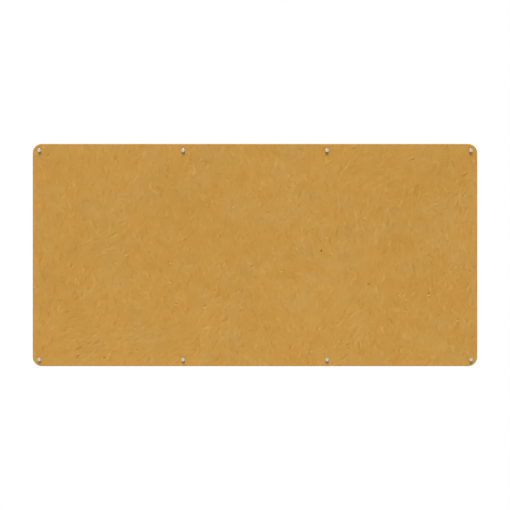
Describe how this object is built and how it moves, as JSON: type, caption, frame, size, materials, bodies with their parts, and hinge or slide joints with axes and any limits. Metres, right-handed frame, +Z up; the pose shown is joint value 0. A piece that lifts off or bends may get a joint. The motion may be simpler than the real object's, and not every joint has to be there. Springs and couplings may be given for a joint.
{
  "type": "pinboard",
  "caption": "Frameless wide felt pinboard with round corners, held flat on a wall by small domed caps along its top and bottom edges.",
  "frame": {"origin": "middle of the board's back face, on the wall's surface", "axes": "+Z up, +X to the right seen from the front, +Y into the wall, so the pinning face looks along -Y"},
  "size_m": [1.2, 0.0489, 0.6],
  "materials": {
    "felt": "matte",
    "nickel": "satin",
    "zinc": "satin",
    "nylon": "satin"
  },
  "bodies": {
    "board": {"felt_board": "felt", "seat_washer_top_1": "nickel", "screw_top_1": "zinc", "wall_plug_top_1": "nylon", "seat_washer_top_2": "nickel", "screw_top_2": "zinc", "wall_plug_top_2": "nylon", "seat_washer_top_3": "nickel", "screw_top_3": "zinc", "wall_plug_top_3": "nylon", "seat_washer_top_4": "nickel", "screw_top_4": "zinc", "wall_plug_top_4": "nylon", "seat_washer_bottom_1": "nickel", "screw_bottom_1": "zinc", "wall_plug_bottom_1": "nylon", "seat_washer_bottom_2": "nickel", "screw_bottom_2": "zinc", "wall_plug_bottom_2": "nylon", "seat_washer_bottom_3": "nickel", "screw_bottom_3": "zinc", "wall_plug_bottom_3": "nylon", "seat_washer_bottom_4": "nickel", "screw_bottom_4": "zinc", "wall_plug_bottom_4": "nylon"},
    "cap_top_1": {"cap_top_1": "nickel"},
    "cap_top_2": {"cap_top_2": "nickel"},
    "cap_top_3": {"cap_top_3": "nickel"},
    "cap_top_4": {"cap_top_4": "nickel"},
    "cap_bottom_1": {"cap_bottom_1": "nickel"},
    "cap_bottom_2": {"cap_bottom_2": "nickel"},
    "cap_bottom_3": {"cap_bottom_3": "nickel"},
    "cap_bottom_4": {"cap_bottom_4": "nickel"}
  },
  "joints": [
    {"name": "cap_top_1_unscrew", "type": "slide", "parent": "board", "child": "cap_top_1", "axis": [0, -1, 0], "range_m": [0, 0.008]},
    {"name": "cap_top_2_unscrew", "type": "slide", "parent": "board", "child": "cap_top_2", "axis": [0, -1, 0], "range_m": [0, 0.008]},
    {"name": "cap_top_3_unscrew", "type": "slide", "parent": "board", "child": "cap_top_3", "axis": [0, -1, 0], "range_m": [0, 0.008]},
    {"name": "cap_top_4_unscrew", "type": "slide", "parent": "board", "child": "cap_top_4", "axis": [0, -1, 0], "range_m": [0, 0.008]},
    {"name": "cap_bottom_1_unscrew", "type": "slide", "parent": "board", "child": "cap_bottom_1", "axis": [0, -1, 0], "range_m": [0, 0.008]},
    {"name": "cap_bottom_2_unscrew", "type": "slide", "parent": "board", "child": "cap_bottom_2", "axis": [0, -1, 0], "range_m": [0, 0.008]},
    {"name": "cap_bottom_3_unscrew", "type": "slide", "parent": "board", "child": "cap_bottom_3", "axis": [0, -1, 0], "range_m": [0, 0.008]},
    {"name": "cap_bottom_4_unscrew", "type": "slide", "parent": "board", "child": "cap_bottom_4", "axis": [0, -1, 0], "range_m": [0, 0.008]}
  ]
}
